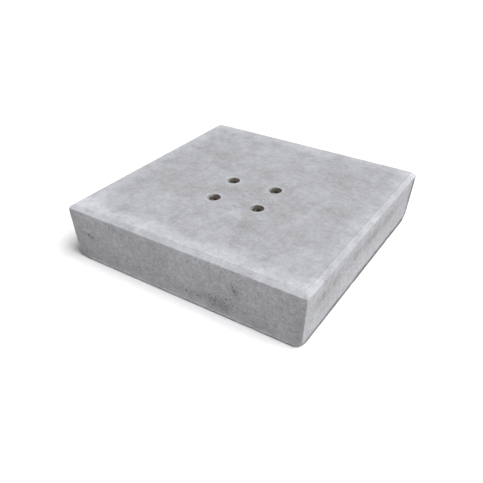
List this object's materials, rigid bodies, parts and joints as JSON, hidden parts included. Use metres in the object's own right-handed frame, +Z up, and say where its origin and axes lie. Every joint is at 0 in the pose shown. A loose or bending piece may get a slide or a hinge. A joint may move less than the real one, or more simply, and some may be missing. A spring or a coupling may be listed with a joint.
{
  "type": "concrete deck pier block",
  "caption": "Low square precast concrete base block with chamfered top edges, inward-leaning sides and a group of countersunk threaded steel sockets in its top for bolting on a post foot.",
  "frame": {"origin": "middle of the underside, on the surface that the block stands on", "axes": "+Z up out of the top face, +X and +Y along the sides; the group of sockets is nearer the -Y side"},
  "size_m": [0.5, 0.5, 0.117],
  "materials": {
    "concrete": "matt grey concrete, trowelled top and moulded sides",
    "socket_steel": "dull zinc plating"
  },
  "bodies": {
    "root": {"concrete_block": "concrete", "threaded_socket_rear_left": "socket_steel", "threaded_socket_rear_right": "socket_steel", "threaded_socket_front_left": "socket_steel", "threaded_socket_front_right": "socket_steel"}
  },
  "joints": []
}
